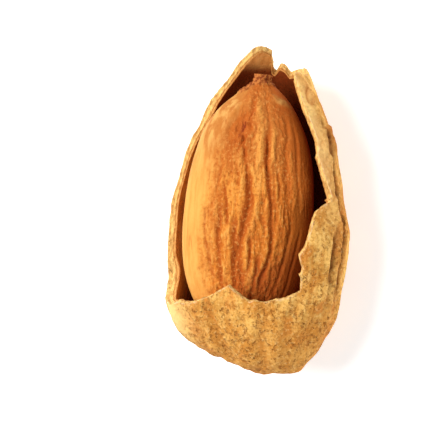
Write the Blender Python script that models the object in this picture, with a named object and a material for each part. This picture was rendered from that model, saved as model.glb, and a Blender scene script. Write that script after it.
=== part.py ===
"""An almond lying on its back in its broken shell, with the kernel showing in the torn opening.

Metres, +Z up. The long axis lies along Y with the pointed tip at +Y, the two seams of the shell face
-X and +X, and the origin is the middle of the small flat on the shell's back that the nut rests on.
"""

import math

import bmesh
import bpy
import numpy as np

MM = 0.001

# The shell. A direction is an angle round the nut seen from above, 0 at +X and 90 at the tip. A reach
# is an angle up the wall from the middle of the back: 90 on the seams, 180 in the middle of the front.
HALF_DEPTH = 6.8 * MM
WALL = 0.75 * MM
THIN_WALL = 0.5 * MM
REST_SINK = 0.2 * MM
OUTLINE = MM * np.array([
    (9.5, -1.6), (9.1, 2.2), (8.4, 6.4), (7.2, 10.8), (5.5, 15.1), (3.5, 17.9), (0.9, 19.2),
    (-1.6, 17.5), (-4.9, 13.2), (-5.6, 12.0), (-7.3, 9.3), (-9.0, 5.0), (-9.9, 0.0), (-9.9, -5.4),
    (-9.4, -9.2), (-7.4, -12.0), (-2.7, -14.3), (1.4, -15.4), (4.6, -14.9), (7.0, -11.9), (8.5, -7.6),
])
CUP_LIP = [
    (-140, 104), (-133, 127), (-124, 137), (-119, 142), (-108, 150), (-98.5, 155), (-92, 153),
    (-85, 151), (-81.5, 149.5), (-77.5, 150), (-72.5, 147.5), (-63, 143), (-57, 138), (-51, 133),
    (-47.5, 129.5),
]
CUP_WING = [
    (-44.5, 130.5), (-40.5, 131.5), (-39.5, 133.5), (-38, 132), (-34, 132), (-31, 134), (-26, 136),
    (-16, 132), (-5.5, 130), (4, 127), (10.5, 123), (11.5, 119.5), (13.5, 117.5), (15, 112.5),
]
SIDE_STRIP = [
    (16.5, 112), (18.5, 114.5), (19.5, 111.5), (26, 113), (35, 113.5), (44.5, 114), (46, 112),
    (51, 111), (58, 112.5), (65.5, 113), (70, 111), (73.3, 107.5), (71.8, 98), (71, 84),
]
TIP_NOTCH = [
    (77, 66), (82.3, 58), (84, 59.2), (86.2, 59.2), (88.2, 56.2), (89.1, 58), (88.7, 67), (88.3, 68.8),
    (89.3, 73), (90.3, 79), (93.5, 85.5), (97, 87),
]
SIDE_RIM = [
    (108, 90), (120, 87), (133, 90), (150, 88), (165, 89.5), (180, 87), (198, 89), (208, 88),
    (213, 92), (217, 98),
]
TORN_EDGE = np.array(CUP_LIP + CUP_WING + SIDE_STRIP + TIP_NOTCH + SIDE_RIM, float)
EDGE_STEP = 0.85 * MM
EDGE_CROWN = 0.06 * MM
OUTER_ROWS = 17
INNER_ROWS = 13
THIN_FROM, THIN_BY = 92.0, 137.0
# The welt along the seams and its furrow: their heights, and their half widths in degrees of reach.
KEEL_REACH = 97.0
KEEL_HEIGHT, KEEL_SPREAD = 0.45 * MM, 9.0
FURROW_SHARE, FURROW_SPREAD = 0.75, 2.5
KEEL_AT_BACK_SEAM = 0.35
BARE_TIP_AT, BARE_TIP_SPREAD, BARE_TIP_SHARE = 82.0, 24.0, 0.85
# The flutes and dents of the outside, in waves per millimetre along X, Y and Z. They fade to the flat.
FLUTE_HEIGHT = 0.2 * MM
FLUTE_WAVES = (0.36, 0.055, 0.36)
DENT_WAVES = (0.2, 0.14, 0.2)
RIB_HEIGHT = 0.15 * MM
RIB_WAVES = (0.8, 0.13, 0.8)
FLUTES_FROM, FLUTES_BY = 20.0, 55.0

# The kernel, which lies loose in the shell, its tip turned a little to +X.
KERNEL_LENGTH = 27.0 * MM
KERNEL_HALF_WIDTH = 7.05 * MM
KERNEL_HALF_DEPTH = 4.7 * MM
KERNEL_MIDDLE = (-0.85 * MM, 2.1 * MM, -0.1 * MM)
KERNEL_TURN = math.radians(-5.5)
KERNEL_ROLL = math.radians(8.0)
WIDEST_AT = 0.42
NECK_LENGTH = 0.075
STUB_RADIUS = 0.75 * MM
KERNEL_ROWS = 42
KERNEL_COLUMNS = 124
FIRST_ROW = 0.012
# Its wrinkles are rounded ridges with a crease where a stretched noise crosses zero: the depth in mm, and
# the waves per millimetre along X, Y and Z. The coat is smooth on the left, and nearly so at the right.
WRINKLES = [(0.20, (0.58, 0.09, 0.58), 84), (0.17, (1.15, 0.22, 1.15), 85)]
SMOOTH_FROM, SMOOTH_BY = 108.0, 138.0
# The main furrows: depth and half width in mm, then the turn in degrees at each share of the length.
MM_PER_DEGREE = 0.102
FURROWS = [
    (0.34, 0.42, [(0.19, 91), (0.27, 93), (0.34, 92), (0.43, 94)]),
    (0.38, 0.46, [(0.2, 85), (0.3, 88), (0.36, 88), (0.42, 86), (0.51, 84), (0.6, 85)]),
    (0.30, 0.34, [(0.22, 67), (0.29, 62), (0.37, 61), (0.5, 64), (0.66, 69), (0.76, 72)]),
    (0.20, 0.28, [(0.56, 87), (0.65, 88), (0.73, 94), (0.78, 97)]),
    (0.22, 0.30, [(0.18, 103), (0.31, 106), (0.39, 110), (0.47, 110)]),
    (0.20, 0.26, [(0.44, 58), (0.54, 62), (0.68, 64)]),
    (0.20, 0.30, [(0.18, 51), (0.24, 49), (0.31, 47), (0.44, 44)]),
]
DENT_DEPTH = 0.16 * MM


def lattice(cell, seed):
    """A steady value from -1 to 1 for each whole-number cell, by mixing the bits of its place."""
    mixed = cell[..., 0] * 374761393 + cell[..., 1] * 668265263 + cell[..., 2] * 1440662683 + seed * 97
    mixed = (mixed ^ (mixed >> 13)) & 0x7FFFFFFF
    mixed = (mixed * 1274126177) & 0x7FFFFFFF
    return ((mixed ^ (mixed >> 16)) & 0xFFFF) / 32767.5 - 1.0


def noise(place, waves, seed):
    """Smooth noise from about -1 to 1 at points in mm: a slope at each corner of a cell, blended."""
    place = place * np.asarray(waves, float)
    cell = np.floor(place).astype(np.int64)
    part = place - cell
    fade = part ** 3 * (part * (part * 6 - 15) + 10)
    total = 0.0
    for corner in np.ndindex(2, 2, 2):
        weight = np.prod(np.where(corner, fade, 1 - fade), axis=-1)
        offset = part - corner
        slope = [lattice(cell + corner, seed + 31 * axis) * offset[..., axis] for axis in range(3)]
        total = total + weight * sum(slope)
    return 1.2 * total


def closed_curve(points, count):
    """A smooth closed curve through the points, a cubic between each two of them."""
    place = np.linspace(0, len(points), count, endpoint=False)
    first = place.astype(int)
    t = (place - first)[:, None]
    before, start, end, after = (points[(first + k) % len(points)] for k in (-1, 0, 1, 2))
    bend = 2 * before - 5 * start + 4 * end - after
    twist = 3 * (start - end) + after - before
    return start + 0.5 * t * (end - before + t * (bend + t * twist))


def radius_by_direction(curve):
    """The distance from the middle to the curve as a function of the direction, in radians."""
    turn = np.unwrap(np.arctan2(curve[:, 1], curve[:, 0]))
    turns = np.concatenate([turn - 2 * math.pi, turn, turn + 2 * math.pi])
    reach = np.tile(np.hypot(curve[:, 0], curve[:, 1]), 3)
    return lambda direction: np.interp(direction % (2 * math.pi), turns, reach)


def inset(curve, distance):
    """The curve moved inwards by the distance, square to itself."""
    along = np.roll(curve, -1, axis=0) - np.roll(curve, 1, axis=0)
    along /= np.linalg.norm(along, axis=1)[:, None]
    return curve + distance * np.stack([-along[:, 1], along[:, 0]], axis=1)


SEAM_CURVE = closed_curve(OUTLINE, 2000)
OUTER_RADIUS = radius_by_direction(SEAM_CURVE)
CAVITY_RADIUS = radius_by_direction(inset(SEAM_CURVE, WALL))
NUT_LIFT = np.array((0.0, 0.0, HALF_DEPTH - REST_SINK))


def wall_point(direction, reach, depth):
    """A point in the shell wall: a pillow over the outline, and the cavity's pillow one wall below it."""
    share = depth / WALL
    radius = OUTER_RADIUS(direction) * (1 - share) + CAVITY_RADIUS(direction) * share
    across = radius * np.sin(reach)
    height = -(HALF_DEPTH - depth) * np.cos(reach)
    return np.stack([across * np.cos(direction), across * np.sin(direction), height], axis=-1)


def keel(direction, reach):
    """The seam's raised welt with a furrow along its middle: high at +X, low at -X, and bare at the tip."""
    side = KEEL_AT_BACK_SEAM + (1 - KEEL_AT_BACK_SEAM) * np.clip(0.5 + np.cos(direction), 0, 1)
    bare = np.exp(-((np.degrees(direction) % 360 - BARE_TIP_AT) / BARE_TIP_SPREAD) ** 4)
    side = side * (1 - BARE_TIP_SHARE * bare)
    off = np.degrees(reach) - KEEL_REACH
    welt = np.exp(-(off / KEEL_SPREAD) ** 2) - FURROW_SHARE * np.exp(-(off / FURROW_SPREAD) ** 2)
    return KEEL_HEIGHT * side * welt


def flutes(direction, reach):
    """Broad shallow furrows and narrower ribs that run along the shell, and slow dents."""
    place = (wall_point(direction, reach, 0.0) + NUT_LIFT) / MM
    broad = 1.3 * noise(place, FLUTE_WAVES, 5) + 1.1 * noise(place, DENT_WAVES, 8)
    fade = np.clip((np.degrees(reach) - FLUTES_FROM) / (FLUTES_BY - FLUTES_FROM), 0, 1)
    return fade * (FLUTE_HEIGHT * broad + RIB_HEIGHT * noise(place, RIB_WAVES, 21))


def wall_thickness(direction, reach):
    """Full at the back and along the seams, and thin where the front has broken."""
    front = np.clip((np.degrees(reach) - THIN_FROM) / (THIN_BY - THIN_FROM), 0, 1)
    return WALL - (WALL - THIN_WALL) * front


def torn_edge(step):
    """Directions and reaches along the torn edge, evenly spaced, with every corner kept."""
    ends = np.radians(np.vstack([TORN_EDGE, TORN_EDGE[:1] + (360, 0)]))
    directions, reaches = [], []
    for start, end in zip(ends, ends[1:]):
        pair = wall_point(np.array([start[0], end[0]]), np.array([start[1], end[1]]), 0.0)
        count = max(1, round(np.linalg.norm(pair[1] - pair[0]) / step))
        share = np.arange(count) / count
        directions.append(start[0] + (end[0] - start[0]) * share)
        reaches.append(start[1] + (end[1] - start[1]) * share)
    return np.concatenate(directions), np.concatenate(reaches)


def shell_rings():
    """Rings from the rest flat, up the outside to the torn edge, over it and down the inside."""
    end_direction, end_reach = torn_edge(EDGE_STEP)
    even = np.linspace(0, 2 * math.pi, len(end_direction), endpoint=False)
    start_direction = even + (end_direction - even).mean()
    flat_reach = math.acos(1 - REST_SINK / HALF_DEPTH)

    def ring(share, depth_of):
        direction = start_direction + (end_direction - start_direction) * share ** 2
        reach = flat_reach + (end_reach - flat_reach) * share
        return wall_point(direction, reach, depth_of(direction, reach))

    def outside(direction, reach):
        return -(keel(direction, reach) + flutes(direction, reach))

    rings = [ring(k / OUTER_ROWS, outside) for k in range(OUTER_ROWS + 1)]
    rings[0][:, 2] = REST_SINK - HALF_DEPTH
    rings.append((rings[-1] + ring(1.0, wall_thickness)) / 2 + (0, 0, EDGE_CROWN))
    rings += [ring(1 - k / INNER_ROWS, wall_thickness) for k in range(INNER_ROWS + 1)]
    rings[-1][:, 2] = rings[-1][:, 2].mean()
    return rings


def girth(along):
    """The share of the full width: a round rise from each end to 1 at the widest, and a neck at the tip."""
    base = np.sin(math.pi / 2 * np.sqrt(np.clip(along / WIDEST_AT, 0, 1)))
    tip = np.sin(math.pi / 2 * np.sqrt(np.clip((1 - along) / (1 - WIDEST_AT), 0, 1)))
    return base * tip * (1 - np.exp(-(1 - along) / NECK_LENGTH))


def kernel_point(along, turn, lift):
    """A point of the kernel: an oval across, scaled by the girth, lifted, rolled and turned."""
    width = np.maximum(KERNEL_HALF_WIDTH * girth(along), STUB_RADIUS) + lift
    depth = np.maximum(KERNEL_HALF_DEPTH * girth(along) ** 1.06, STUB_RADIUS) + lift
    x, y, z = width * np.cos(turn), KERNEL_LENGTH * (along - 0.5) + 0 * turn, depth * np.sin(turn)
    tilt, lean = math.cos(KERNEL_ROLL), math.sin(KERNEL_ROLL)
    x, z = x * tilt + z * lean, z * tilt - x * lean
    cosine, sine = math.cos(KERNEL_TURN), math.sin(KERNEL_TURN)
    return np.stack([x * cosine - y * sine, x * sine + y * cosine, z], axis=-1) + KERNEL_MIDDLE


def smooth_step(values, low, high):
    """0 below low, 1 above high, and an even curve between."""
    t = np.clip((values - low) / (high - low), 0, 1)
    return t * t * (3 - 2 * t)


def coat_relief(along, turn):
    """How far the seed coat stands out: wrinkles, the main furrows with their shoulders, and a dent."""
    place = (kernel_point(along, turn, 0.0) + NUT_LIFT) / MM
    degrees = np.degrees(turn)
    wander = degrees + 2.4 * noise(place, (0.3, 0.22, 0.3), 81)
    left = smooth_step(wander, SMOOTH_FROM, SMOOTH_BY) * (1 - smooth_step(degrees, 215, 235))
    right = smooth_step(55 - wander, 0, 18) * smooth_step(degrees + 40, 0, 15)
    wrinkled = 1 - np.clip(0.94 * left + 0.45 * right + 0.55 * smooth_step(along, 0.76, 0.86), 0, 0.96)
    lift = 0.0
    for depth, waves, seed in WRINKLES:
        lift = lift + depth * (np.minimum(2.6 * np.abs(noise(place, waves, seed)), 1.2) - 0.75)
    lift = wrinkled * lift
    for depth, half_width, path in FURROWS:
        stations, turns = np.array(path, float).T
        off = (wander - np.interp(along, stations, turns)) * MM_PER_DEGREE * girth(along)
        share = smooth_step(along, stations[0] - 0.05, stations[0] + 0.03)
        share = share * (1 - smooth_step(along, stations[-1] - 0.03, stations[-1] + 0.05))
        shoulder = np.exp(-((np.abs(off) - 1.5 * half_width) / (0.7 * half_width)) ** 2)
        lift = lift - share * depth * (np.exp(-(off / (0.62 * half_width)) ** 2) - 0.3 * shoulder)
    dent = np.exp(-((degrees - 106) / 11) ** 2 - ((along - 0.795) / 0.035) ** 2)
    ends = smooth_step(along, 0.0, 0.08) * smooth_step(1 - along, 0.0, 0.07)
    return ends * (lift * MM - DENT_DEPTH * dent)


def kernel_rings():
    """Rings from the blunt base to the pointed tip, closer together at both ends."""
    turn = np.linspace(0, 2 * math.pi, KERNEL_COLUMNS, endpoint=False) - math.pi / 2
    shares = 0.5 - 0.5 * np.cos(math.pi * np.linspace(FIRST_ROW, 1 - FIRST_ROW, KERNEL_ROWS))
    return [kernel_point(share, turn, coat_relief(share, turn)) for share in shares]


def skin(name, rings, lift):
    """A closed mesh over the rings, with a flat cap on the first and the last."""
    mesh = bpy.data.meshes.new(name)
    bm = bmesh.new()
    rows = [[bm.verts.new(tuple(point + lift)) for point in ring] for ring in rings]
    for low, high in zip(rows, rows[1:]):
        for k in range(len(low)):
            m = (k + 1) % len(low)
            bm.faces.new((low[k], low[m], high[m], high[k]))
    bm.faces.new(rows[0])
    bm.faces.new(rows[-1])
    bmesh.ops.recalc_face_normals(bm, faces=bm.faces)
    bm.to_mesh(mesh)
    bm.free()
    mesh.shade_smooth()
    mesh.set_sharp_from_angle(angle=math.radians(50))
    made = bpy.data.objects.new(name, mesh)
    bpy.context.scene.collection.objects.link(made)
    return made


def finish(name, colour, roughness):
    """A plain dull material in the colour of the real surface."""
    material = bpy.data.materials.new(name)
    material.use_nodes = True
    shader = material.node_tree.nodes["Principled BSDF"]
    shader.inputs["Base Color"].default_value = (*colour, 1.0)
    shader.inputs["Roughness"].default_value = roughness
    shader.inputs["Metallic"].default_value = 0.0
    return material


for old in list(bpy.data.objects):
    bpy.data.objects.remove(old)

shell = skin("shell", shell_rings(), NUT_LIFT)
shell.data.materials.append(finish("dry_shell", (0.64, 0.38, 0.15), 0.85))
kernel = skin("kernel", kernel_rings(), NUT_LIFT)
kernel.data.materials.append(finish("seed_skin", (0.48, 0.19, 0.05), 0.7))
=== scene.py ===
"""An almond in its broken shell, lying on its back on a white table under a soft studio lamp.

Metres, +Z up. The long axis lies along Y with the pointed tip at +Y, and the nut rests at the origin.
"""

import math

import bpy
import numpy as np
from mathutils import Matrix, Vector


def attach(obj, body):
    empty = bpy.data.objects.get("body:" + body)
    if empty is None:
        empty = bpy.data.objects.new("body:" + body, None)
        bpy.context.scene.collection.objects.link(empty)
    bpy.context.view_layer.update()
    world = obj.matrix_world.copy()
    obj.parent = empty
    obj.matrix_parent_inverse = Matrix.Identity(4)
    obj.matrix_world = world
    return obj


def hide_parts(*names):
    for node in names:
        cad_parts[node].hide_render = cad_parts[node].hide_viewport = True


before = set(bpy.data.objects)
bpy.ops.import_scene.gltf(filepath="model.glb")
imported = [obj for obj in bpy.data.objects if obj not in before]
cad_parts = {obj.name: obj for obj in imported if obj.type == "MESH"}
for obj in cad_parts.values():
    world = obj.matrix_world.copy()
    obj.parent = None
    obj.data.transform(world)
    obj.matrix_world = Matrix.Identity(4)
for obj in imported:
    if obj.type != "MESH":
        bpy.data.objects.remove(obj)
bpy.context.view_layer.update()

# The camera looks down on the window from the side of the seam at +X, with the tip at the top of the
# frame. A long lens from far off keeps the nut's outline free of foreshortening. The frame is
# FRAME_WIDTH wide at the nut, and its middle lies off the nut's by FRAME_OFFSET, across and up.
MM = 0.001
VIEW_LEAN = math.radians(22)
FRAME_WIDTH = 44.33 * MM
FRAME_OFFSET = (-4.54 * MM, 1.03 * MM)
NUT_MIDDLE = Vector((0.0, 0.0, 6.6 * MM))
CAMERA_DISTANCE = 0.42
SENSOR_WIDTH_IN_MM = 36.0
NEAREST_SEEN = 0.01

right = Vector((math.cos(VIEW_LEAN), 0.0, -math.sin(VIEW_LEAN)))
up = Vector((0.0, 1.0, 0.0))
toward = Vector((math.sin(VIEW_LEAN), 0.0, math.cos(VIEW_LEAN)))
aim = NUT_MIDDLE + right * FRAME_OFFSET[0] + up * FRAME_OFFSET[1]
lens = bpy.data.cameras.new("camera")
lens.sensor_width = SENSOR_WIDTH_IN_MM
lens.lens = SENSOR_WIDTH_IN_MM * CAMERA_DISTANCE / FRAME_WIDTH
lens.clip_start = NEAREST_SEEN
camera = bpy.data.objects.new("camera", lens)
camera.matrix_world = Matrix.LocRotScale(
    aim + toward * CAMERA_DISTANCE, Matrix((right, up, toward)).transposed(), None
)
bpy.context.collection.objects.link(camera)
bpy.context.scene.camera = camera

# The light: one large soft lamp from the upper left of the frame, a weak wide one from the right that
# keeps the shade brown, and an even white surround. Colours are shown as they are, without a film curve.
# A lamp's way from the nut is given across the frame, up it, and out of it towards the camera.
LAMPS = {
    "key": {
        "way": (-0.74, 0.22, 0.62), "distance": 0.45, "size": 0.36,
        "power": 2.8, "tint": (1.0, 0.97, 0.92),
    },
    "fill": {
        "way": (0.78, -0.22, 0.58), "distance": 0.55, "size": 0.50,
        "power": 1.3, "tint": (1.0, 0.98, 0.96),
    },
}
SURROUND_TINT, SURROUND_STRENGTH = (1.0, 0.99, 0.985, 1.0), 0.32

for name, lamp in LAMPS.items():
    light = bpy.data.lights.new(name, "AREA")
    light.shape = "DISK"
    light.size = lamp["size"]
    light.energy = lamp["power"]
    light.color = lamp["tint"]
    sideways, upwards, outwards = lamp["way"]
    way = (right * sideways + up * upwards + toward * outwards).normalized()
    lamp_object = bpy.data.objects.new(name, light)
    lamp_object.matrix_world = Matrix.LocRotScale(
        NUT_MIDDLE + way * lamp["distance"], way.to_track_quat("Z", "Y"), None
    )
    bpy.context.collection.objects.link(lamp_object)

world = bpy.data.worlds.new("surround")
world.use_nodes = True
background = world.node_tree.nodes["Background"]
background.inputs["Color"].default_value = SURROUND_TINT
background.inputs["Strength"].default_value = SURROUND_STRENGTH
bpy.context.scene.world = world
bpy.context.scene.view_settings.view_transform = "Standard"

# The table: a plain white top, barely glossy, wide enough to fill every view. A faint cool glow of its
# own stands in for the light that a bright studio throws on it from all round.
TABLE_HALF_WIDTH = 1.5
TABLE_CORNERS = ((-1, -1), (1, -1), (1, 1), (-1, 1))
TABLE_COLOUR = (0.92, 0.91, 0.92)
TABLE_GLOW, TABLE_GLOW_STRENGTH = (0.86, 0.95, 1.0, 1.0), 0.54


def plain_material(name, colour, roughness, specular):
    """A material with its Principled shader set, and that shader."""
    material = bpy.data.materials.new(name)
    material.use_nodes = True
    shader = material.node_tree.nodes["Principled BSDF"]
    shader.inputs["Base Color"].default_value = (*colour, 1.0)
    shader.inputs["Roughness"].default_value = roughness
    shader.inputs["Specular IOR Level"].default_value = specular
    return material, shader


top = bpy.data.meshes.new("table")
corners = [(x * TABLE_HALF_WIDTH, y * TABLE_HALF_WIDTH, 0.0) for x, y in TABLE_CORNERS]
top.from_pydata(corners, [], [(0, 1, 2, 3)])
table = bpy.data.objects.new("table", top)
bpy.context.collection.objects.link(table)
white_top, white_shader = plain_material("white_table", TABLE_COLOUR, 0.6, 0.3)
white_shader.inputs["Emission Color"].default_value = TABLE_GLOW
white_shader.inputs["Emission Strength"].default_value = TABLE_GLOW_STRENGTH
top.materials.append(white_top)

# The shell: one woody wall, grown in one piece, half to three quarters of a millimetre thick. It is pale
# tan, fluted and pitted outside and orange-tan inside, where painted shade darkens the lining to a dark
# red-brown deep in the cavity. Its front is broken away in a tall window; a cup of it is left round the
# base and a strip up the right.

# A direction is an angle round the nut seen from above, 0 at +X and 90 at the tip. A reach is an angle
# up the wall from the middle of the back: 90 on the seams, 180 in the middle of the front. Lengths are in
# mm. The wall thins from the reach THIN_FROM to THIN_BY, tapers by EDGE_TAPER to its torn edge, and is
# LOW_LEFT_EXTRA thicker at the rim low on the left. The flat is cut REST_SINK deep into the round back.
HALF_DEPTH = 6.8
WALL, THIN_WALL = 0.75, 0.5
THIN_FROM, THIN_BY = 92.0, 137.0
EDGE_TAPER, LOW_LEFT_EXTRA = 0.15, 0.42
REST_SINK = 0.2
# The seam's outline seen from above, then the corners of the torn edge, each a direction and a reach.
OUTLINE = np.array([
    (9.5, -1.6), (9.1, 2.2), (8.4, 6.4), (7.2, 10.8), (5.5, 15.1), (3.5, 17.9), (0.9, 19.5),
    (-1.6, 17.5), (-4.9, 13.2), (-5.6, 12.0), (-7.3, 9.3), (-9.0, 5.0), (-9.9, 0.0), (-9.9, -5.4),
    (-9.4, -9.2), (-7.4, -12.0), (-2.7, -14.3), (1.4, -15.4), (4.6, -14.9), (7.0, -11.9), (8.5, -7.6),
])
CUP_LIP = [
    (-140, 104), (-133, 127), (-124, 137), (-119, 142), (-108, 150), (-98.5, 155), (-92, 153),
    (-85, 151), (-81.5, 149.5), (-77.5, 150), (-72.5, 147.5), (-63, 143), (-57, 138), (-51, 133),
    (-47.5, 129.5),
]
CUP_WING = [
    (-44.5, 130.5), (-40.5, 131.5), (-39.5, 133.5), (-38, 132), (-34, 132), (-31, 134), (-26, 136),
    (-16, 132), (-5.5, 130), (4, 126.5), (10.8, 122), (11.8, 118), (13.6, 115), (15.2, 108),
]
SIDE_STRIP = [
    (16.3, 107.5), (17.3, 110), (18.6, 106.5), (26, 108.5), (35, 110.5), (44.5, 112), (46, 109.5),
    (51, 108), (58, 109.5), (65.5, 111), (70, 110), (73.3, 107), (71.8, 98), (71, 84),
]
TIP_NOTCH = [
    (77, 66), (82.3, 58), (84, 59.2), (86.2, 59.2), (88.2, 56.2), (89.1, 58), (88.7, 67), (88.3, 68.8),
    (89.3, 73), (90.3, 79), (93.5, 85.5), (97, 87),
]
SIDE_RIM = [
    (108, 90), (120, 87), (133, 90), (150, 88), (165, 89.5), (180, 87), (198, 89), (208, 88),
    (213, 92), (217, 98),
]
TORN_EDGE = np.array(CUP_LIP + CUP_WING + SIDE_STRIP + TIP_NOTCH + SIDE_RIM, float)
OUTLINE_STEPS = 4000
SHELL_COLUMNS = 430
OUTER_ROWS, INNER_ROWS = 126, 62
# The tears along the edge in three sizes: how long each is, and how far out or back it goes.
RAGGED = ((1.6, 0.07), (0.62, 0.06), (0.3, 0.035))
# The rows of either side end LIP_INSET before the torn edge, and two more follow at LIP_STEPS before it.
# The pale lip fades by LIP_FADE to the millimetre.
LIP_INSET, LIP_STEPS, LIP_FADE = 0.16, (0.09, 0.04), 9
# The cup's broad grooves: the place across in mm, 10 mm below the middle, half the width, and how strong.
# They draw closer together towards the blunt end by this share for each mm.
CUP_GROOVES = ((-3.1, 0.65, 1.0), (2.3, 0.65, 1.0), (5.1, 0.5, 0.8), (7.0, 0.5, 0.7))
GROOVES_CLOSE = 0.07
# Shares of the wall: how far the outside sinks freely, and how much further it sinks at most.
SINKS_FREELY, SINKS_MORE = 0.3, 0.34
# How high or deep the forms of the outside are.
FLUTE_HEIGHT, FINE_FLUTE_HEIGHT, LUMP_HEIGHT = 0.2, 0.19, 0.11
KEEL_HEIGHT, SCALE_HEIGHT, FURROW_DEPTH = 0.45, 0.34, 0.42
CUP_RISE, GROOVE_DEPTH = 0.17, 0.36
RIM_RISE, HOLLOW_DEPTH, LOWERING = 0.24, 0.22, 0.2
KNOB_HEIGHT, KNOB_RING_DEPTH = 0.28, 0.16
WELT_HEIGHT, WELT_BUMPS = 0.34, 0.24
GRAIN_HEIGHT, PIT_DEPTH = 0.05, 0.13
# Across the torn edge from the outer skin to the inner: the share of the wall, and how far that layer
# stands out. The skin and the woody layer stand proud of the softer ones between them.
LAYERS = (
    (0.0, 0.0), (0.07, 0.03), (0.18, 0.02), (0.3, -0.1), (0.42, -0.04), (0.56, 0.03),
    (0.68, -0.02), (0.8, -0.09), (0.92, -0.01), (1.0, -0.02),
)
SHELL_MASKS = ("inside", "lip", "deep", "furrow", "pitted", "valley", "seam", "rusty", "smooth")
# Large odd numbers that scatter the places of the seeded noise.
SCATTER = (374761393, 668265263, 1440662683)
SCATTER_AGAIN = 1274126177


def smooth_step(values, low, high):
    """0 below low, 1 above high, and an even curve between."""
    t = np.clip((values - low) / (high - low), 0, 1)
    return t * t * (3 - 2 * t)


def hump(values, middle, half_width, power=2):
    """1 at the middle, 1/e at the half width from it; a higher power has a flatter top."""
    return np.exp(-((values - middle) / half_width) ** power)


def bearing(direction):
    """The direction in degrees from 0 to 360."""
    return np.degrees(direction) % 360


def turned(direction):
    """The direction in degrees from -180 to 180."""
    return (np.degrees(direction) + 180) % 360 - 180


def lattice(cell, seed):
    """A steady value from -1 to 1 for each whole-number cell, by mixing the bits of its place."""
    mixed = sum(cell[..., axis] * SCATTER[axis] for axis in range(3)) + seed * 97
    mixed = (mixed ^ (mixed >> 13)) & 0x7FFFFFFF
    mixed = (mixed * SCATTER_AGAIN) & 0x7FFFFFFF
    return ((mixed ^ (mixed >> 16)) & 0xFFFF) / 32767.5 - 1.0


def noise(place, waves, seed):
    """Smooth noise from about -1 to 1 at points in mm: a slope at each corner of a cell, blended.

    The waves are the cells to a millimetre along each axis.
    """
    place = place * np.asarray(waves, float)
    cell = np.floor(place).astype(np.int64)
    part = place - cell
    fade = part ** 3 * (part * (part * 6 - 15) + 10)
    total = 0.0
    for corner in np.ndindex(2, 2, 2):
        weight = np.prod(np.where(corner, fade, 1 - fade), axis=-1)
        offset = part - corner
        slope = [lattice(cell + corner, seed + 31 * axis) * offset[..., axis] for axis in range(3)]
        total = total + weight * sum(slope)
    return 1.2 * total


def pits(place, waves, radius, seed):
    """Round pits, one in each cell at a seeded spot: 1 in the middle of a pit, 0 past its radius.

    The waves are the cells to a millimetre along each axis, and the radius is a share of a cell.
    """
    place = place * np.asarray(waves, float)
    cell = np.floor(place).astype(np.int64)
    deepest = np.zeros(place.shape[:-1])
    for step in np.ndindex(3, 3, 3):
        near = cell + np.array(step) - 1
        centre = near + 0.5 + 0.4 * np.stack([lattice(near, seed + axis) for axis in range(3)], axis=-1)
        size = radius * (0.75 + 0.45 * lattice(near, seed + 7))
        away = np.linalg.norm(place - centre, axis=-1)
        deepest = np.maximum(deepest, np.clip(1 - (away / np.maximum(size, 0.05)) ** 2, 0, 1))
    return deepest


def closed_curve(points, count):
    """A smooth closed curve through the points, a cubic between each two of them."""
    place = np.linspace(0, len(points), count, endpoint=False)
    first = place.astype(int)
    t = (place - first)[:, None]
    before, start, end, after = (points[(first + k) % len(points)] for k in (-1, 0, 1, 2))
    bend = 2 * before - 5 * start + 4 * end - after
    twist = 3 * (start - end) + after - before
    return start + 0.5 * t * (end - before + t * (bend + t * twist))


def radius_by_direction(curve):
    """The distance from the middle to the curve as a function of the direction, in radians."""
    turn = np.unwrap(np.arctan2(curve[:, 1], curve[:, 0]))
    turns = np.concatenate([turn - 2 * math.pi, turn, turn + 2 * math.pi])
    reach = np.tile(np.hypot(curve[:, 0], curve[:, 1]), 3)
    return lambda direction: np.interp(direction % (2 * math.pi), turns, reach)


def inset(curve, distance):
    """The curve moved inwards by the distance, square to itself."""
    along = np.roll(curve, -1, axis=0) - np.roll(curve, 1, axis=0)
    along /= np.linalg.norm(along, axis=1)[:, None]
    return curve + distance * np.stack([-along[:, 1], along[:, 0]], axis=1)


seam_curve = closed_curve(OUTLINE, OUTLINE_STEPS)
outer_radius = radius_by_direction(seam_curve)
cavity_radius = radius_by_direction(inset(seam_curve, WALL))


def wall_point(direction, reach, depth):
    """A point in the wall, in mm, on a pillow over the outline.

    It lies out from the middle by a radius times the sine of the reach, and up from there by the half
    depth times minus its cosine. The radius goes from the outline's to the cavity's over one wall.
    """
    share = depth / WALL
    radius = outer_radius(direction) * (1 - share) + cavity_radius(direction) * share
    across = radius * np.sin(reach)
    height = HALF_DEPTH - REST_SINK - (HALF_DEPTH - depth) * np.cos(reach)
    return np.stack([across * np.cos(direction), across * np.sin(direction), height], axis=-1)


def wall_thickness(direction, reach, share):
    """The wall in mm at a share of the way from the flat to the torn edge.

    It is full at the back and the seams, thinner at the front, and tapered over the last of the way.
    The rim beside the cup, low on the left, is thicker.
    """
    front = np.clip((np.degrees(reach) - THIN_FROM) / (THIN_BY - THIN_FROM), 0, 1)
    thick = (WALL - (WALL - THIN_WALL) * front) * (1 - EDGE_TAPER * share ** 8)
    low_left = hump(bearing(direction), 214, 13, 4)
    return thick + LOW_LEFT_EXTRA * low_left * share ** 3 * (1 - front)


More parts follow.
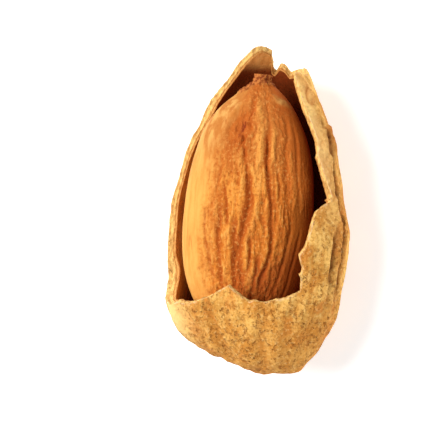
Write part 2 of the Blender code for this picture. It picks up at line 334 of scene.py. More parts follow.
def ragged_edge(count):
    """Directions and reaches evenly along the torn edge, and the step per mm that leads out of the wall.

    The corners are joined by straight runs, and each point is pushed out or back along that step by
    three sizes of seeded noise, read round a ring as long as the edge. The edge's length comes too.
    """
    ends = np.radians(np.vstack([TORN_EDGE, TORN_EDGE[:1] + (360, 0)]))
    spots = wall_point(ends[:, 0], ends[:, 1], 0.0)
    length = np.concatenate([[0], np.cumsum(np.linalg.norm(np.diff(spots, axis=0), axis=1))])
    along = np.linspace(0, length[-1], count, endpoint=False)
    direction = np.interp(along, length, ends[:, 0])
    reach = np.interp(along, length, ends[:, 1])
    wide = outer_radius(direction) * np.sin(reach)
    tall = np.hypot(outer_radius(direction) * np.cos(reach), HALF_DEPTH * np.sin(reach))

    def forward(values, wrap=0.0):
        """The change of the values from two columns back to two ahead, round the closed edge."""
        ahead = np.roll(values, -2)
        ahead[-2:] += wrap
        back = np.roll(values, 2)
        back[:2] -= wrap
        return ahead - back

    tangent = np.stack([forward(direction, 2 * math.pi) * wide, forward(reach) * tall], axis=1)
    tangent = sum(np.roll(tangent, k, axis=0) for k in (-2, -1, 0, 1, 2))
    tangent /= np.linalg.norm(tangent, axis=1)[:, None]
    out = np.stack([-tangent[:, 1] / wide, tangent[:, 0] / tall])
    turn = 2 * math.pi * along / length[-1]
    ring = np.stack([np.cos(turn), np.sin(turn), np.zeros(count)], axis=-1) * length[-1] / (2 * math.pi)
    push = sum(size * noise(ring, [1 / span] * 3, 40 + k) for k, (span, size) in enumerate(RAGGED))
    return np.array([direction, reach]) + push * out, out, along


def keel_share(direction):
    """Full at the seam on +X, a third of it at -X, and low at the tip, the blunt end and the strip's top."""
    tip = 1 - 0.85 * hump(bearing(direction), 82, 24, 4)
    low_end = 1 - 0.75 * hump(bearing(direction), 287, 38, 4)
    strip_top = 1 - 0.8 * hump(bearing(direction), 66, 11, 4)
    return tip * low_end * strip_top * (0.35 + 0.65 * np.clip(0.5 + np.cos(direction), 0, 1))


def furrow_share(direction):
    """Full along the seam on +X, and gone round the blunt end and towards the tip."""
    return smooth_step(turned(direction), -62, -32) * (1 - smooth_step(turned(direction), 53, 59))


def spot(direction, reach, at, wide):
    """1 at a place given in degrees of direction and reach, falling to 0 over its widths."""
    off = turned(direction) - at[0]
    return np.exp(-(off / wide[0]) ** 2 - ((np.degrees(reach) - at[1]) / wide[1]) ** 2)


def cup_grooves(place, degrees):
    """How much a place is on the cup, and how deep in one of its broad grooves, each from 0 to 1."""
    cup = smooth_step(degrees, 95, 115) * smooth_step(-place[..., 1], 5.5, 9)
    wobble = 0.28 * noise(place, (0.3, 0.2, 0.3), 35)
    grooves = np.zeros(place.shape[:-1])
    for across, half_width, share in CUP_GROOVES:
        off = place[..., 0] + wobble - across * (1 + GROOVES_CLOSE * (place[..., 1] + 10))
        grooves = np.maximum(grooves, share * hump(off, 0, half_width))
    return cup, cup * grooves


def seam_furrow(direction, place, degrees):
    """How deep in the jagged furrow beside the seam, from 0 to 1: a narrow hump whose reach wanders."""
    wander = degrees + 2.2 * noise(place, (0.35, 0.35, 0.35), 26)
    wander = wander + 2.6 * noise(place, (1.3, 0.9, 1.3), 30)
    jagged = 2.2 * np.abs(noise(place, (1.1, 0.9, 1.1), 36)) + 0.5
    furrow = keel_share(direction) * furrow_share(direction) * hump(wander, 97.5, 1.7)
    low_end = hump(bearing(direction), 338, 17)
    return np.maximum(np.clip(furrow * jagged, 0, 1), low_end * hump(wander, 107, 1.7))


def sunk_softly(height, thick):
    """The height, but what sinks past a share of the wall sinks ever less, up to a limit."""
    free, more = SINKS_FREELY * thick, SINKS_MORE * thick
    sunk = np.maximum(-height - free, 0)
    return np.maximum(height, -free) - more * np.tanh(sunk / more)


def outside_relief(direction, reach):
    """Height of the outside in mm, and six masks from 0 to 1.

    The masks say how much a place is in the seam's furrow, among clustered pits, in a valley between
    flutes (darker in colour, partly as painted shade), on the seam's scales, rusty, and smooth and pale
    (the paleness partly a painted highlight).
    """
    place = wall_point(direction, reach, 0.0)
    degrees = np.degrees(reach)
    fade = np.clip((degrees - 20) / 35, 0, 1)
    flutes = 1.3 * noise(place, (0.36, 0.055, 0.36), 5) + 1.1 * noise(place, (0.2, 0.14, 0.2), 8)
    fine_flutes = noise(place, (0.8, 0.13, 0.8), 21)
    lumps = noise(place, (0.9, 0.6, 0.9), 22)
    cup, grooves = cup_grooves(place, degrees)
    furrow = seam_furrow(direction, place, degrees)
    height = KEEL_HEIGHT * keel_share(direction) * hump(degrees, 97, 9) + FLUTE_HEIGHT * fade * flutes
    height = height + fade * (FINE_FLUTE_HEIGHT * fine_flutes + LUMP_HEIGHT * lumps)
    height = height + CUP_RISE * cup - GROOVE_DEPTH * grooves - FURROW_DEPTH * furrow

    thick_rim = np.exp(-((bearing(direction) - 190) / 30) ** 4 - ((degrees - 92) / 24) ** 2)
    hollow = spot(direction, reach, (-124, 126), (5, 6))
    lowered = spot(direction, reach, (-67, 95), (15, 34))
    height = height + RIM_RISE * thick_rim - HOLLOW_DEPTH * hollow - LOWERING * lowered

    knob = spot(direction, reach, (65, 100.5), (2.5, 5.5))
    widths_away = np.sqrt(-np.log(np.maximum(knob, 1e-9)))
    ring = hump(widths_away, 0.95, 0.28)
    welt = smooth_step(54.5 - turned(direction), 0, 3) * smooth_step(turned(direction), 34, 44)
    welt = welt * hump(degrees, 92, 8)
    bumps = WELT_HEIGHT + WELT_BUMPS * noise(place, (1.3, 1.1, 1.3), 33)
    height = height + KNOB_HEIGHT * knob - KNOB_RING_DEPTH * ring + welt * bumps

    # Smooth patches: fewer pits and valleys, and paler in colour, partly as a painted highlight.
    smooth = spot(direction, reach, (-134, 112), (13, 16))
    smooth = np.maximum(smooth, 0.6 * spot(direction, reach, (48, 108), (34, 9)))
    pitted = np.clip((degrees - 15) / 12, 0, 1) * (1 - 0.8 * smooth)
    rough = np.clip(0.55 + 0.9 * noise(place, (0.13, 0.1, 0.13), 25), 0.12, 1)
    grain = noise(place, (2.1, 1.5, 2.1), 23) + 0.6 * noise(place, (4.2, 3.0, 4.2), 24)
    big = pits(place, (0.85, 0.7, 0.85), 0.42, 61)
    scales = hump(degrees, 96, 13) * keel_share(direction)
    flakes = 1.2 * np.abs(noise(place, (1.2, 0.7, 1.2), 27))
    flakes = flakes + 0.6 * np.abs(noise(place, (2.6, 1.7, 2.6), 29))
    height = height + pitted * (GRAIN_HEIGHT * rough * grain - PIT_DEPTH * rough * big)
    height = height + scales * SCALE_HEIGHT * (flakes - 0.4)
    height = sunk_softly(height, wall_thickness(direction, reach, 1.0))

    cluster = smooth_step(noise(place, (0.6, 0.5, 0.6), 28) - 0.04 * place[..., 1], -0.25, 0.35)
    # Valleys between flutes and the cup's grooves, darker in colour partly as painted shade.
    valley = np.maximum(smooth_step(-0.8 * fine_flutes * (1 - 0.7 * cup), -0.1, 0.5), 0.95 * grooves)
    valley = valley * (1 - 0.7 * smooth)
    rusty = np.clip(welt * (0.8 + 0.8 * noise(place, (1.2, 0.9, 1.2), 34)) + 0.8 * ring, 0, 1)
    rusty = np.maximum(rusty, 0.8 * scales * smooth_step(0.26 - flakes, 0, 0.16))
    return height, furrow, pitted * cluster, valley, np.clip(1.3 * scales, 0, 1), rusty, smooth


# The columns start evenly round the flat and end along the torn edge.
edge, edge_out, edge_length = ragged_edge(SHELL_COLUMNS)
inset_edge = edge - LIP_INSET * edge_out
even = np.linspace(0, 2 * math.pi, SHELL_COLUMNS, endpoint=False)
start_direction = even + (edge[0] - even).mean()
flat_reach = math.acos(1 - REST_SINK / HALF_DEPTH)


def columns_at(share):
    """Direction and reach on every column at that share of the way from the flat to the torn edge."""
    direction = start_direction + (inset_edge[0] - start_direction) * share ** 2
    return direction, flat_reach + (inset_edge[1] - flat_reach) * share


def shell_grid():
    """Rows of points from the flat up the outside, across the torn edge's layers, and down the inside.

    Each row comes with its masks, in the order of SHELL_MASKS: how far through the wall, how near the
    torn edge and how much painted shade the lining takes deep in the cavity, then the six of the outside,
    which fade across the layers.
    """
    rows, masks = [], []

    def add(points, inside, lip, outer=(0,) * 6, strength=1.0, deep=0.0):
        """One more row, with each mask spread over all its columns."""
        rows.append(points)
        ones = np.ones(SHELL_COLUMNS)
        row = [ones * inside, ones * lip, ones * deep, *(ones * mask * strength for mask in outer)]
        masks.append(np.stack(row, axis=-1))

    share = np.linspace(0, 1, OUTER_ROWS)[:, None]
    direction, reach = columns_at(share)
    height, *outer = outside_relief(direction, reach)
    height[0] = 0.0
    outside = wall_point(direction, reach, -height)
    outside[0, :, 2] = 0.0
    for scale in (0.25, 0.5, 0.75):
        add(outside[0] * scale, 0, 0)
    for k in range(OUTER_ROWS):
        add(outside[k], 0, 0, [mask[k] for mask in outer])
    for back in LIP_STEPS:
        direction, reach = edge - back * edge_out
        height, *outer = outside_relief(direction, reach)
        add(wall_point(direction, reach, -height), 0, 1 - back * LIP_FADE, outer)

    skin_height, *outer = outside_relief(*edge)
    thick = wall_thickness(*edge, 1.0)
    stretched_out = edge_length[:, None] * (1, 0, 0)
    for part, stand in LAYERS:
        ragged = stand * (1 + 1.2 * noise(stretched_out, (0.5, 1, 1), 50))
        ragged = ragged + 0.08 * noise(stretched_out + (0, 3 * part, 0), (2.4, 2, 1), 51)
        direction, reach = edge + ragged * edge_out
        layer = wall_point(direction, reach, thick * part - skin_height * (1 - part))
        add(layer, part, 1 - 0.6 * part, outer, 1 - part)
    for back in LIP_STEPS[::-1]:
        direction, reach = edge - back * edge_out
        thick = wall_thickness(direction, reach, 1.0)
        add(wall_point(direction, reach, thick), 1, 0.35)

    for share in np.linspace(1, 0, INNER_ROWS):
        direction, reach = columns_at(share)
        thick = wall_thickness(direction, reach, share)
        place = wall_point(direction, reach, thick)
        fibres = 0.035 * noise(place, (1.6, 0.3, 1.6), 31) + 0.02 * noise(place, (3.5, 1.2, 3.5), 32)
        # Painted shade on the lining: it darkens away from the torn edge, more slowly on the back wall by
        # the tip and on the left, and fully everywhere below the tip but on the left.
        tongue = hump(bearing(direction), 103, 14, 4)
        left = smooth_step(bearing(direction), 115, 150)
        deep = smooth_step(1 - share, 0.0, 0.10 + 0.6 * tongue + 0.25 * left)
        deep = np.maximum(deep, (1 - left) * smooth_step(17 - place[..., 1], 0, 1.3))
        add(wall_point(direction, reach, thick + fibres * share), 1, 0, deep=deep)
    last = rows[-1]
    middle = last.mean(axis=0)
    for scale in (0.75, 0.5, 0.25):
        add(middle + (last - middle) * scale, 1, 0, deep=1.0)
    return np.array(rows), np.array(masks)


def closed_skin(name, grid, masks, mask_names):
    """A closed mesh over the rows of the grid, with a flat cap on the first and last, and its masks."""
    row_count, column_count = grid.shape[:2]
    index = np.arange(row_count * column_count).reshape(row_count, column_count)
    following = np.roll(index, -1, axis=1)
    quads = np.stack([index[:-1], following[:-1], following[1:], index[1:]], axis=-1).reshape(-1, 4)
    faces = quads.tolist() + [index[0, ::-1].tolist(), index[-1].tolist()]
    mesh = bpy.data.meshes.new(name)
    mesh.from_pydata(grid.reshape(-1, 3) * MM, [], faces)
    for k, mask_name in enumerate(mask_names):
        layer = mesh.attributes.new(mask_name, "FLOAT", "POINT")
        layer.data.foreach_set("value", masks[..., k].astype(np.float32).ravel())
    mesh.shade_smooth()
    mesh.update()
    skin = bpy.data.objects.new(name, mesh)
    bpy.context.collection.objects.link(skin)
    return skin


class Paint:
    """Builds a material's nodes on Object coordinates and the mesh's own masks.

    Spans and depths are in mm. A value or a colour is a node's socket or a constant.
    """

    MIX_SHARE, MIX_FIRST, MIX_SECOND, MIX_RESULT = 0, 6, 7, 2

    def __init__(self, name, roughness, specular):
        self.material, self.shader = plain_material(name, (0.5, 0.5, 0.5), roughness, specular)
        self.place = self.node("ShaderNodeTexCoord").outputs["Object"]

    def node(self, kind, settings=(), inputs=()):
        """A new node with its settings, and its inputs set or linked."""
        made = self.material.node_tree.nodes.new(kind)
        for key, value in settings:
            setattr(made, key, value)
        for key, value in inputs:
            if isinstance(value, bpy.types.NodeSocket):
                self.material.node_tree.links.new(value, made.inputs[key])
            else:
                made.inputs[key].default_value = value
        return made

    def mask(self, name):
        """One of the mesh's own masks."""
        return self.node("ShaderNodeAttribute", [("attribute_name", name)]).outputs["Fac"]

    def stretched(self, stretch):
        """Object coordinates squeezed so that a pattern comes out longer along an axis."""
        scale = tuple(1 / part for part in stretch)
        return self.node("ShaderNodeMapping", (), [("Vector", self.place), ("Scale", scale)]).outputs[0]

    def noise(self, span, detail=3.0, stretch=(1, 1, 1), rough=0.55):
        """Noise whose patches are about span mm across, from 0 to 1."""
        inputs = [("Vector", self.stretched(stretch)), ("Scale", 1 / (span * MM))]
        inputs += [("Detail", detail), ("Roughness", rough)]
        return self.node("ShaderNodeTexNoise", (), inputs).outputs["Fac"]

    def between(self, value, low, high):
        """0 at low and before it, 1 at high and past it, a smooth step between; low may be the larger."""
        inputs = [("Value", value), ("From Min", low), ("From Max", high)]
        settings = [("interpolation_type", "SMOOTHSTEP")]
        return self.node("ShaderNodeMapRange", settings, inputs).outputs["Result"]

    def low_end(self):
        """0 from 6 mm below the middle of the nut, rising to 1 at its blunt end."""
        along = self.node("ShaderNodeSeparateXYZ", (), [("Vector", self.place)]).outputs["Y"]
        return self.between(along, -6 * MM, -14 * MM)

    def times(self, first, second):
        """The product of two values."""
        return self.node("ShaderNodeMath", [("operation", "MULTIPLY")], [(0, first), (1, second)]).outputs[0]

    def mix(self, share, first, second):
        """The first colour, turned into the second by the share."""
        inputs = [(self.MIX_SHARE, share)]
        for key, colour in ((self.MIX_FIRST, first), (self.MIX_SECOND, second)):
            inputs.append((key, colour if isinstance(colour, bpy.types.NodeSocket) else (*colour, 1.0)))
        return self.node("ShaderNodeMix", [("data_type", "RGBA")], inputs).outputs[self.MIX_RESULT]

    def coat(self, under, mask, share, over):
        """The colour under, with the colour over laid on it by the mask times the share."""
        return self.mix(self.times(mask, share), under, over)

    def finish(self, colour, bumps):
        """Links the colour, and each bump as its height and its depth in mm, one over the other."""
        links = self.material.node_tree.links
        links.new(colour, self.shader.inputs["Base Color"])
        normal = None
        for height, depth in bumps:
            inputs = [("Height", height), ("Distance", depth * MM), ("Strength", 1.0)]
            inputs += [("Normal", normal)] if normal else []
            normal = self.node("ShaderNodeBump", (), inputs).outputs["Normal"]
        links.new(normal, self.shader.inputs["Normal"])
        return self.material


def shell_material():
    """Dry shell, colour over colour by patches of noise and the masks.

    Ochre is mottled with pale and olive patches, orange stains and dark pits, browner along the seam
    and cream at the torn edge. The valleys between flutes are darker, partly browner shell and partly
    painted shade, and the smooth patches are paler, partly the shell's own tone and partly a painted
    highlight. Then come brown and tan layers by how far through the wall a place is, and an orange-tan
    lining that painted shade darkens deep in the cavity.
    """
    paint = Paint("dry_shell", 0.85, 0.1)
    inside, lip, deep, furrow, pitted, valley, seam, rusty, smooth = map(paint.mask, SHELL_MASKS)
    broad = paint.noise(2.0, 5.0, (1, 1.5, 1), 0.62)
    colour = paint.mix(paint.between(broad, 0.38, 0.60), (0.94, 0.56, 0.150), (0.66, 0.28, 0.048))
    olive = paint.between(paint.noise(1.5, 3.0, (1, 1.8, 1)), 0.53, 0.65)
    colour = paint.coat(colour, olive, 0.4, (0.48, 0.26, 0.052))
    # Darker in the valleys: partly browner shell, partly painted shade.
    colour = paint.coat(colour, valley, 0.88, (0.50, 0.20, 0.034))
    streaks = paint.noise(0.7, 4.0, (1, 3, 1))
    colour = paint.coat(colour, paint.between(streaks, 0.5, 0.72), 0.55, (0.88, 0.55, 0.17))
    stain = paint.between(paint.noise(2.1, 3.0, (1, 1.9, 1)), 0.53, 0.64)
    colour = paint.coat(colour, stain, 0.75, (0.62, 0.205, 0.030))
    colour = paint.coat(colour, seam, 0.5, (0.66, 0.28, 0.055))
    colour = paint.coat(colour, paint.low_end(), 0.5, (0.60, 0.235, 0.038))
    grain = paint.noise(0.34, 4.0)
    colour = paint.coat(colour, paint.between(grain, 0.50, 0.36), 0.5, (0.42, 0.165, 0.028))
    # Paler on the smooth patches: partly the shell's own tone, partly a painted highlight.
    colour = paint.coat(colour, smooth, 0.8, (0.95, 0.68, 0.28))
    colour = paint.coat(colour, paint.between(grain, 0.54, 0.68), 0.3, (0.98, 0.70, 0.28))
    pores = paint.times(paint.between(paint.noise(0.42, 3.0, (1, 1.2, 1), 0.65), 0.47, 0.33), pitted)
    fine_pores = paint.between(paint.noise(0.26, 2.0), 0.47, 0.31)
    fine_pores = paint.times(fine_pores, paint.between(broad, 0.36, 0.52))
    fine_pores = paint.times(fine_pores, paint.between(smooth, 0.6, 0.1))
    colour = paint.coat(colour, fine_pores, 0.45, (0.50, 0.175, 0.026))
    colour = paint.coat(colour, pores, 0.6, (0.42, 0.122, 0.016))
    colour = paint.coat(colour, rusty, 0.8, (0.50, 0.15, 0.026))
    colour = paint.coat(colour, furrow, 0.95, (0.14, 0.038, 0.009))
    chipped = paint.between(paint.noise(0.8, 3.0), 0.40, 0.62)
    colour = paint.coat(colour, paint.times(lip, chipped), 0.6, (0.92, 0.66, 0.42))
    layered = paint.mix(paint.between(inside, 0.60, 0.74), (0.88, 0.56, 0.19), (0.60, 0.25, 0.06))
    layered = paint.mix(paint.between(inside, 0.74, 0.82), layered, (0.76, 0.42, 0.13))
    layered = paint.mix(paint.between(inside, 0.86, 0.97), layered, (0.42, 0.13, 0.028))
    flecks = paint.between(paint.noise(0.25, 4.0, (1, 3, 1)), 0.55, 0.42)
    layered = paint.coat(layered, flecks, 0.55, (0.42, 0.15, 0.030))
    fibres = paint.noise(0.5, 4.0, (1, 7, 1))
    lining = paint.mix(paint.between(fibres, 0.35, 0.7), (0.72, 0.28, 0.065), (0.90, 0.43, 0.12))
    # Painted shade: the lining turns dark red-brown deep in the cavity.
    lining = paint.mix(deep, lining, (0.20, 0.034, 0.005))
    layered = paint.mix(paint.between(inside, 0.94, 1.0), layered, lining)
    colour = paint.mix(paint.between(inside, 0.02, 0.08), colour, layered)
    return paint.finish(colour, [(grain, 0.15), (streaks, 0.08), (pores, -0.12), (fine_pores, -0.04)])


shell_points, shell_masks = shell_grid()
shell = closed_skin("almond_shell", shell_points, shell_masks, SHELL_MASKS)
shell.data.materials.append(shell_material())
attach(shell, "root")
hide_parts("shell")

# The kernel: the almond's seed, lying loose in the shell, blunt at the base with a small stub at the
# tip. Its thin brown coat is wrinkled lengthwise and powdery; one side is smooth and golden.
KERNEL_LENGTH, KERNEL_HALF_WIDTH, KERNEL_HALF_DEPTH = 27.0, 7.05, 4.7
KERNEL_MIDDLE = (-0.85, 2.1, -0.1 + HALF_DEPTH - REST_SINK)
KERNEL_TURN, KERNEL_ROLL = math.radians(-5.5), math.radians(8.0)
# Shares of the length from the base: where the kernel is widest, and how long its neck is.
WIDEST_AT, NECK_LENGTH = 0.42, 0.075
STUB_RADIUS = 0.75
KERNEL_COLUMNS, KERNEL_ROWS = 436, 222
# How high or deep the forms of the coat are in mm, beside its furrows and ridges.
WIDE_WRINKLES, MIDDLE_WRINKLES, NARROW_WRINKLES, POWDER_HEIGHT = 0.075, 0.11, 0.12, 0.085
SHOULDER_RISE, DENT_DEPTH, FLAKE_RISE, CRUST_RISE = 0.26, 0.24, 0.16, 0.22
GAP_INSET = 0.5
# A degree of turn in mm on the kernel's front, where it is widest.
MM_PER_DEGREE = 0.102
# How a furrow or ridge comes and goes: shares of the length before and past its first and last station.
FURROW_ENDS = ((-0.05, 0.03), (-0.03, 0.05))
RIDGE_ENDS = ((-0.04, 0.06), (-0.05, 0.04))
# The main furrows: depth and half width in mm, then the turn in degrees at each share of the length.
FURROWS = [
    (0.34, 0.42, [(0.19, 91), (0.27, 93), (0.34, 92), (0.43, 94)]),
    (0.38, 0.46, [(0.2, 85), (0.3, 88), (0.36, 88), (0.42, 86), (0.51, 84), (0.6, 85)]),
    (0.30, 0.28, [(0.22, 67), (0.29, 62), (0.37, 61), (0.5, 64), (0.66, 69), (0.76, 72)]),
    (0.20, 0.24, [(0.24, 80), (0.3, 78), (0.38, 78)]),
    (0.20, 0.28, [(0.56, 87), (0.65, 88), (0.73, 94), (0.78, 97)]),
    (0.22, 0.30, [(0.18, 103), (0.31, 106), (0.39, 110), (0.47, 110)]),
    (0.16, 0.26, [(0.24, 114), (0.29, 116), (0.36, 121), (0.46, 125)]),
    (0.17, 0.24, [(0.42, 101), (0.5, 104), (0.58, 108)]),
    (0.14, 0.22, [(0.44, 58), (0.54, 62), (0.68, 64)]),
    (0.10, 0.20, [(0.55, 58), (0.68, 61)]),
    (0.09, 0.26, [(0.6, 50), (0.72, 51), (0.82, 46)]),
    (0.08, 0.24, [(0.52, 37), (0.63, 39), (0.78, 37)]),
    (0.14, 0.26, [(0.18, 51), (0.24, 49), (0.31, 47), (0.44, 44)]),
    (0.10, 0.22, [(0.14, 38), (0.26, 37), (0.4, 34)]),
    (0.09, 0.24, [(0.7, 69), (0.82, 69), (0.92, 70)]),
    (0.16, 0.26, [(0.72, 98), (0.79, 91), (0.9, 93)]),
    (0.18, 0.26, [(0.1, 74), (0.2, 73), (0.29, 70)]),
    (0.16, 0.24, [(0.1, 92), (0.15, 98), (0.22, 99)]),
]
# The main ridges in the same way: the one that runs down from the tip, the edge of the left shoulder, and
# a low one on the right.
RIDGES = [
    (0.20, 0.30, [(0.60, 79), (0.68, 78), (0.76, 79), (0.84, 82), (0.90, 84)]),
    (0.14, 0.42, [(0.82, 117), (0.87, 114), (0.92, 104)]),
    (0.07, 0.24, [(0.62, 62), (0.72, 64), (0.82, 66)]),
]
KERNEL_MASKS = ("furrow", "smooth", "raw", "crust", "wrinkled", "sunken", "shaded", "upper", "low")


def girth(along):
    """The share of the full width: a round rise from each end to 1 at the widest, and a neck at the tip."""
    base = np.sin(math.pi / 2 * np.sqrt(np.clip(along / WIDEST_AT, 0, 1)))
    tip = np.sin(math.pi / 2 * np.sqrt(np.clip((1 - along) / (1 - WIDEST_AT), 0, 1)))
    return base * tip * (1 - np.exp(-(1 - along) / NECK_LENGTH))


def kernel_form(along, turn, lift):
    """A point of the kernel in mm: an oval across, scaled by the girth, lifted, rolled and turned."""
    width = np.maximum(KERNEL_HALF_WIDTH * girth(along), STUB_RADIUS) + lift
    depth = np.maximum(KERNEL_HALF_DEPTH * girth(along) ** 1.06, STUB_RADIUS) + lift
    x, y, z = width * np.cos(turn), KERNEL_LENGTH * (along - 0.5), depth * np.sin(turn)
    tilt, lean = math.cos(KERNEL_ROLL), math.sin(KERNEL_ROLL)
    x, z = x * tilt + z * lean, z * tilt - x * lean
    cosine, sine = math.cos(KERNEL_TURN), math.sin(KERNEL_TURN)
    return np.stack([x * cosine - y * sine, x * sine + y * cosine, z], axis=-1) + KERNEL_MIDDLE


def wrinkles(place):
    """Fine lengthwise wrinkles and powder in mm, and the narrowest of them from 0 to 1.2.

    Each size is the absolute value of noise drawn out along the kernel, so it has sharp valleys.
    """
    bent = place.copy()
    bent[..., 0] += 0.5 * noise(place, (0.45, 0.35, 0.45), 94) + 0.22 * noise(place, (1.3, 0.9, 1.3), 95)
    wide = np.minimum(2.6 * np.abs(noise(bent, (0.58, 0.09, 0.58), 84)), 1.2)
    middle = np.minimum(2.6 * np.abs(noise(bent, (1.5, 0.24, 1.5), 85)), 1.2)
    narrow = np.minimum(2.4 * np.abs(noise(bent, (3.1, 0.6, 3.1), 86)), 1.2)
    powder = noise(bent, (2.7, 1.3, 2.7), 87) + 0.7 * noise(place, (4.2, 3.2, 4.2), 88)
    lift = WIDE_WRINKLES * (wide - 0.75) + MIDDLE_WRINKLES * (middle - 0.7)
    lift = lift + NARROW_WRINKLES * (narrow - 0.65) + POWDER_HEIGHT * powder
    return lift, narrow


def beside_path(along, wander, path, ends):
    """How far beside a furrow or ridge a place lies in mm, and how much of it there is at its station."""
    stations, turns = np.array(path, float).T
    off = (wander - np.interp(along, stations, turns)) * MM_PER_DEGREE * girth(along)
    comes, goes = ends
    share = smooth_step(along, stations[0] + comes[0], stations[0] + comes[1])
    return off, share * (1 - smooth_step(along, stations[-1] + goes[0], stations[-1] + goes[1]))


def furrowed(lift, along, wander, low_right):
    """The lift with the furrows sunk between low shoulders and the ridges raised, and the furrows' mask."""
    furrow = np.zeros(lift.shape)
    for depth, half_width, path in FURROWS:
        off, share = beside_path(along, wander, path, FURROW_ENDS)
        share = share * (1 - 0.4 * low_right)
        groove = share * hump(off, 0, 0.62 * half_width)
        shoulder = share * hump(np.abs(off), 1.5 * half_width, 0.7 * half_width)
        lift = lift - depth * groove + 0.3 * depth * shoulder
        furrow = np.maximum(furrow, groove * min(1.0, depth / 0.26))
    for height, half_width, path in RIDGES:
        off, share = beside_path(along, wander, path, RIDGE_ENDS)
        lift = lift + share * height * hump(off, 0, half_width)
    return lift, furrow


def kernel_relief(along, turn):
    """Lift of the seed coat in mm, and its masks from 0 to 1 in the order of KERNEL_MASKS.

    They say how much a place is in a furrow, smooth, raw red, crusted, wrinkled, sunken, on the right
    side, on the upper part, and low on the right or beside the gap. Furrows and sunken places are darker
    in colour, partly as painted shade, and crests paler, partly as a painted highlight; the right side is
    redder and takes painted shade; low on the right is darker, and beside the gap that is painted shade.
    Turns are in degrees, 0 to the right and 90 in front.
    """
    place = kernel_form(along, turn, 0.0)
    degrees = np.degrees(turn)
    wander = degrees + 2.4 * noise(place, (0.3, 0.22, 0.3), 81) + 1.0 * noise(place, (1.1, 0.7, 1.1), 82)
    uneven = 9 * noise(place, (0.5, 0.35, 0.5), 83) + 9 * noise(place, (2.6, 1.5, 2.6), 98)
    left = smooth_step(wander + uneven, 108, 136) * (1 - smooth_step(degrees, 215, 235))
    right_side = smooth_step(55 - wander, 0, 18) * smooth_step(degrees + 40, 0, 15)
    tip = smooth_step(along, 0.62, 0.82) * (1 - 0.4 * hump(degrees, 84, 12))
    low_right = smooth_step(78 - wander, 0, 26) * (1 - smooth_step(along, 0.40, 0.54))
    wrinkled = 1 - np.clip(0.94 * left + 0.68 * right_side + 0.6 * tip + 0.35 * low_right, 0, 0.96)
    lift, narrow = wrinkles(place)
    lift = wrinkled * lift + left * 0.03 * noise(place, (0.9, 0.12, 0.9), 89)
    lift, furrow = furrowed(lift, along, wander, low_right)

    cliff = degrees - 114 - 6 * noise(place, (0.9, 0.6, 0.9), 99)
    shoulder = smooth_step(cliff, -3, 4) * (1 - smooth_step(degrees, 145, 185)) * hump(along, 0.80, 0.085, 4)
    dent = np.exp(-((degrees - 100) / 10) ** 2 - ((along - 0.79) / 0.055) ** 2)
    dent = dent * np.clip(0.8 + 0.8 * noise(place, (0.8, 0.8, 0.8), 90), 0, 1.2)
    flake_rise = along - 0.902 - 0.0006 * (degrees - 36)
    flake = np.exp(-((degrees - 36) / 17) ** 4 - (flake_rise / 0.017) ** 4)
    lift = lift + SHOULDER_RISE * shoulder - dent * (DENT_DEPTH + 0.2 * (1 - narrow))
    lift = lift + FLAKE_RISE * flake * (0.7 + 0.5 * noise(place, (1.6, 2.4, 1.6), 100))

    left_edge = smooth_step(degrees, 108, 140) * (1 - smooth_step(degrees, 200, 225))
    reach_down = 0.030 * left_edge + 0.012 * noise(place, (0.9, 0.9, 0.9), 97)
    crust = smooth_step(along + reach_down, 0.948, 0.966)
    crumbs = noise(place, (2.6, 2.6, 2.6), 91) + 0.7 * noise(place, (5.0, 5.0, 5.0), 92)
    gap_side = hump(degrees, -16, 28, 4) * smooth_step(along, 0.3, 0.5) * (1 - smooth_step(along, 0.8, 0.95))
    ends = smooth_step(along, 0.0, 0.08) * smooth_step(1 - along, 0.0, 0.07)
    lift = ends * (lift - GAP_INSET * gap_side) + crust * (CRUST_RISE + 0.14 * crumbs)

    # Sunken places darker and crests paler in colour: partly the coat's own tone, partly painted shade and
    # painted highlight.
    sunken = np.clip(0.5 - 2.2 * (lift + GAP_INSET * gap_side - 0.2 * shoulder), 0, 1)
    smooth = np.maximum(left, 0.9 * flake)
    upper = smooth_step(along + 0.06 * noise(place, (0.3, 0.2, 0.3), 96), 0.52, 0.76)
    # The right side, turned from the lamp: a redder coat with painted shade.
    shaded = smooth_step(76 - wander + 6 * noise(place, (0.5, 0.2, 0.5), 93), 0, 50)
    shaded = shaded * smooth_step(degrees + 60, 0, 40)
    # Painted shade beside the gap to the strip; with it, the mask darkens low on the right by the cup.
    gap_shade = smooth_step(17 - wander, 0, 18) * smooth_step(degrees + 60, 0, 25)
    gap_shade = gap_shade * smooth_step(along, 0.30, 0.45) * (1 - smooth_step(along, 0.82, 0.92))
    low = smooth_step(0.30 - along + 0.0022 * (88 - degrees), 0.0, 0.12) * smooth_step(degrees, -60, -20)
    low = np.maximum(low * smooth_step(96 - wander, 0, 30), gap_shade)
    return lift, np.stack([furrow, smooth, dent, crust, wrinkled, sunken, shaded, upper, low], axis=-1)


# Rows crowd towards both ends. They are handed over from the tip to the base, so that the faces look out.
row_places = 0.5 - 0.5 * np.cos(math.pi * np.linspace(0.004, 0.996, KERNEL_ROWS))
column_turns = np.linspace(0, 2 * math.pi, KERNEL_COLUMNS, endpoint=False) - math.pi / 2
along, turn = np.broadcast_arrays(row_places[:, None], column_turns[None, :])
lift, kernel_masks = kernel_relief(along, turn)
kernel_points = kernel_form(along, turn, lift)
kernel = closed_skin("almond_kernel", kernel_points[::-1], kernel_masks[::-1], KERNEL_MASKS)


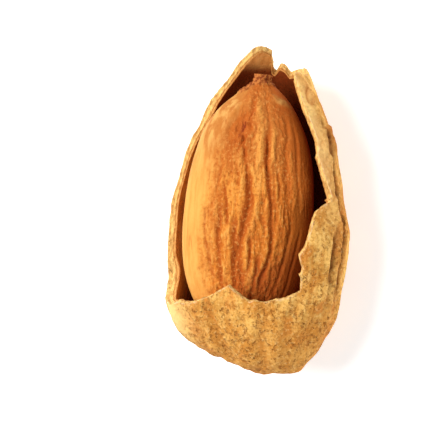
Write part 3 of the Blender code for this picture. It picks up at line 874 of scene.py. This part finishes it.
def seed_coat():
    """Seed coat, colour over colour by patches of noise and the masks.

    Powdery orange-brown crests stand over red-brown furrows; the crests' pale tops are partly a painted
    highlight and the dark sunken places and furrows partly painted shade. The right side is redder with
    painted shade, and the coat is darker low on the right and beside the gap, where it is painted shade.
    It is golden where it is smooth, raw red in the dent, and dark and crumbly on the stub.
    """
    paint = Paint("seed_skin", 0.75, 0.12)
    furrow, smooth, raw, crust, wrinkled, sunken, shaded, upper, low = map(paint.mask, KERNEL_MASKS)
    powder = paint.noise(0.32, 4.0)
    patches = paint.noise(1.8, 4.0, (1, 2.5, 1))
    crest = paint.mix(paint.between(patches, 0.38, 0.62), (0.78, 0.30, 0.046), (0.62, 0.19, 0.022))
    crest = paint.coat(crest, upper, 0.85, (0.47, 0.14, 0.024))
    # Painted shade on the right side, over its redder coat.
    crest = paint.coat(crest, shaded, 0.85, (0.52, 0.112, 0.010))
    # Pale crest tops, then darker sunken places and furrows: partly the coat's powder and skin, partly
    # painted highlight and painted shade.
    crest = paint.mix(paint.times(paint.between(sunken, 0.5, 0.2), wrinkled), crest, (0.80, 0.34, 0.066))
    colour = paint.mix(paint.between(sunken, 0.45, 0.95), crest, (0.50, 0.120, 0.012))
    colour = paint.coat(colour, furrow, 0.55, (0.35, 0.06, 0.006))
    red = paint.between(paint.noise(1.3, 3.0, (1, 3, 1)), 0.50, 0.64)
    colour = paint.coat(colour, red, 0.45, (0.46, 0.10, 0.012))
    streaks = paint.noise(0.5, 3.0, (1, 9, 1))
    golden = paint.mix(paint.between(streaks, 0.35, 0.7), (0.78, 0.38, 0.085), (0.68, 0.29, 0.055))
    worn = paint.between(paint.noise(1.0, 4.0, (1, 4, 1)), 0.40, 0.58)
    faded = paint.mix(worn, (0.68, 0.36, 0.10), (0.46, 0.155, 0.027))
    golden = paint.coat(golden, upper, 0.9, faded)
    colour = paint.coat(colour, smooth, 0.95, golden)
    scratches = paint.between(paint.noise(0.42, 2.0, (1, 8, 1)), 0.62, 0.68)
    colour = paint.coat(colour, scratches, 0.45, (0.40, 0.11, 0.016))
    light_dust = paint.times(paint.between(powder, 0.52, 0.68), paint.between(wrinkled, -0.4, 1.0))
    colour = paint.coat(colour, light_dust, 0.4, (0.86, 0.42, 0.11))
    dark_dust = paint.times(paint.between(powder, 0.48, 0.34), paint.between(wrinkled, -0.1, 0.9))
    colour = paint.coat(colour, dark_dust, 0.6, (0.40, 0.095, 0.011))
    # Darker low on the right by the cup; beside the gap to the strip it is painted shade.
    colour = paint.coat(colour, low, 0.56, (0.28, 0.038, 0.005))
    cracks = paint.between(paint.noise(0.4, 3.0, (1, 4, 1)), 0.42, 0.6)
    scab = paint.mix(cracks, (0.50, 0.12, 0.018), (0.26, 0.04, 0.008))
    colour = paint.coat(colour, raw, 0.85, scab)
    crumbs = paint.mix(paint.between(powder, 0.4, 0.62), (0.22, 0.045, 0.009), (0.54, 0.18, 0.040))
    colour = paint.mix(crust, colour, crumbs)
    fibres = paint.times(paint.noise(0.2, 3.0, (1, 3.5, 1)), paint.between(wrinkled, -0.3, 1.0))
    grit = paint.times(powder, paint.between(wrinkled, -0.5, 1.0))
    return paint.finish(colour, [(grit, 0.16), (fibres, 0.12), (streaks, 0.03)])


kernel.data.materials.append(seed_coat())
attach(kernel, "root")
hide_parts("kernel")
